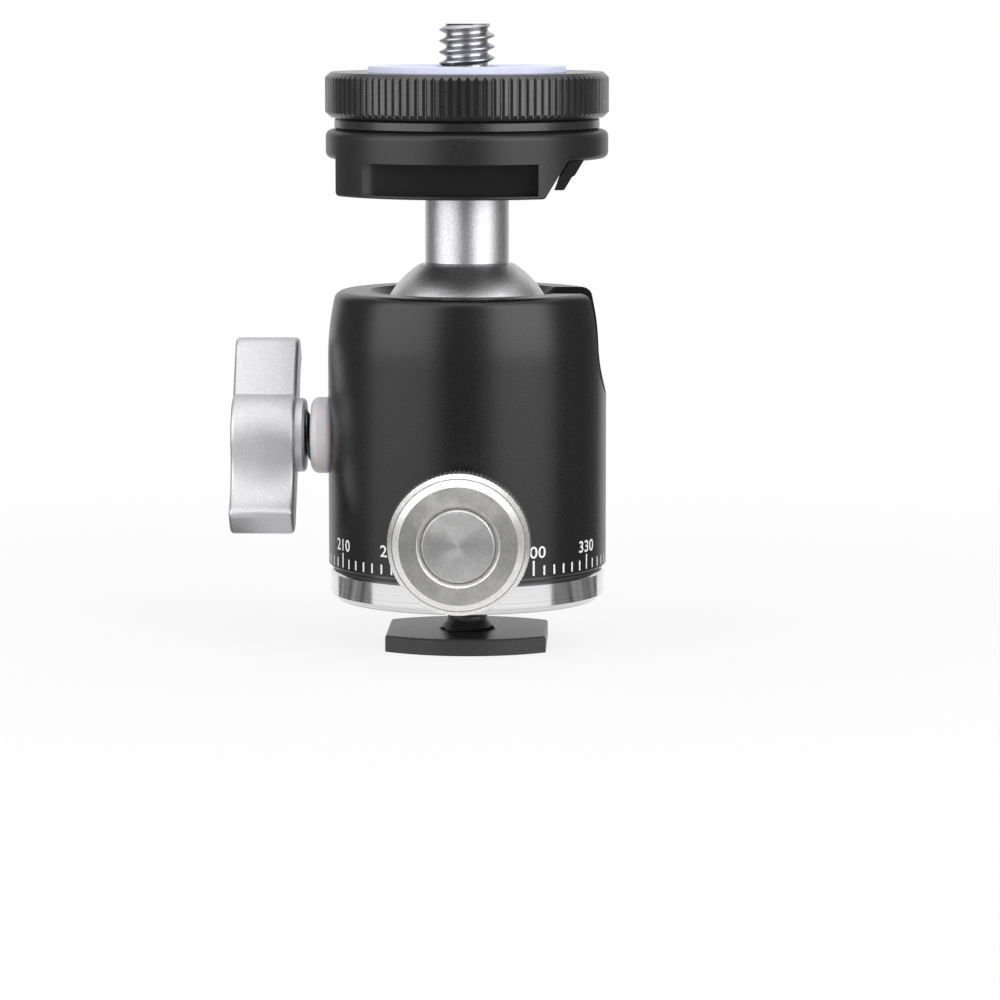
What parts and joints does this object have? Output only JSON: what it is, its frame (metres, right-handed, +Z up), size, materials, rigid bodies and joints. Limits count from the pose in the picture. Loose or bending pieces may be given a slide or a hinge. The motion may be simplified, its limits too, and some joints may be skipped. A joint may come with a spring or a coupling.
{
  "type": "tripod ball head",
  "caption": "Small ball head: camera screw with lock wheel on a platform, stem and ball in a notched housing with a ball lock and a pan lock, on an accessory-shoe foot.",
  "frame": {"origin": "centre of the foot's underside", "axes": "+Z up through the camera screw, drop notch towards +X, ball lock knob towards -X, pan lock knob towards -Y"},
  "size_m": [0.0436, 0.0422, 0.0715],
  "materials": {
    "shoe_foot": "satin black oxide",
    "shoe_stud": "satin black oxide",
    "base_plate": "fine turned",
    "spindle_screws": "plain",
    "pan_spindle": "turned",
    "glide_washer": "natural acetal",
    "housing": "fine satin black anodised",
    "housing_plug": "turned",
    "spring_plate": "ground",
    "disc_springs": "spring steel",
    "knob_washer": "natural nylon",
    "pressure_plate": "turned",
    "ball_cup": "natural acetal",
    "ball": "bead blasted",
    "ball_plunger": "turned",
    "lock_screw": "black oxide steel",
    "lock_knob": "bead blasted",
    "pan_brake_pad": "natural acetal",
    "pan_knob": "fine turned",
    "pan_screw": "fine turned",
    "stem": "bead blasted",
    "platform": "satin black anodised",
    "side_jaw": "matt black",
    "neck_ring": "fine turned, black anodised",
    "camera_screw": "bright stainless",
    "lock_wheel": "black anodised knurl",
    "wheel_pad": "soft, pale blue"
  },
  "bodies": {
    "base": {"shoe_foot": "shoe_foot", "shoe_stud": "shoe_stud", "base_plate": "base_plate", "spindle_screws": "spindle_screws", "pan_spindle": "pan_spindle", "glide_washer": "glide_washer"},
    "housing": {"housing": "housing", "housing_plug": "housing_plug", "spring_plate": "spring_plate", "disc_springs": "disc_springs", "knob_washer": "knob_washer"},
    "seat": {"pressure_plate": "pressure_plate"},
    "cup": {"ball_cup": "ball_cup"},
    "ball": {"ball": "ball"},
    "head": {"stem": "stem", "platform": "platform", "side_jaw": "side_jaw", "neck_ring": "neck_ring", "camera_screw": "camera_screw"},
    "pad": {"wheel_pad": "wheel_pad"},
    "wheel": {"lock_wheel": "lock_wheel"},
    "plunger": {"ball_plunger": "ball_plunger"},
    "lock": {"lock_knob": "lock_knob", "lock_screw": "lock_screw"},
    "pan_brake": {"pan_brake_pad": "pan_brake_pad"},
    "pan_lock": {"pan_knob": "pan_knob", "pan_screw": "pan_screw"}
  },
  "joints": [
    {"name": "pan", "type": "hinge", "parent": "base", "child": "housing", "pos_m": [0, 0, 0.0093], "axis": [0, 0, 1], "continuous": true},
    {"name": "seat_drop", "type": "slide", "parent": "housing", "child": "seat", "axis": [0, 0, -1], "range_m": [0, 0.0002]},
    {"name": "ball_swivel", "type": "hinge", "parent": "housing", "child": "cup", "pos_m": [0, 0, 0.03535], "axis": [0, 0, 1], "range_deg": [0, 180]},
    {"name": "ball_tilt", "type": "hinge", "parent": "cup", "child": "ball", "pos_m": [0, 0, 0.03535], "axis": [0, -1, 0], "range_deg": [-90, 35]},
    {"name": "stem_spin", "type": "hinge", "parent": "ball", "child": "head", "pos_m": [0, 0, 0.03535], "axis": [0, 0, 1], "continuous": true},
    {"name": "wheel_lift", "type": "slide", "parent": "head", "child": "pad", "axis": [0, 0, 1], "range_m": [0, 0.00254]},
    {"name": "wheel_turn", "type": "hinge", "parent": "pad", "child": "wheel", "pos_m": [0, 0, 0.06093], "axis": [0, 0, 1], "range_deg": [0, 720]},
    {"name": "plunger_slide", "type": "slide", "parent": "housing", "child": "plunger", "axis": [-1, 0, 0], "range_m": [0, 0.001]},
    {"name": "lock_knob_turn", "type": "hinge", "parent": "plunger", "child": "lock", "pos_m": [-0.02, 0, 0.0243], "axis": [-1, 0, 0], "range_deg": [0, 360]},
    {"name": "pan_brake_slide", "type": "slide", "parent": "housing", "child": "pan_brake", "axis": [0, -1, 0], "range_m": [0, 0.0007]},
    {"name": "pan_knob_turn", "type": "hinge", "parent": "pan_brake", "child": "pan_lock", "pos_m": [0, -0.018, 0.0149], "axis": [0, -1, 0], "range_deg": [0, 360]}
  ],
  "couplings": [
    {"joint": "plunger_slide", "follows": "lock_knob_turn", "m_per_rad": 0.00015915},
    {"joint": "pan_brake_slide", "follows": "pan_knob_turn", "m_per_rad": 0.0001114},
    {"joint": "wheel_lift", "follows": "wheel_turn", "m_per_rad": 0.00020212}
  ]
}
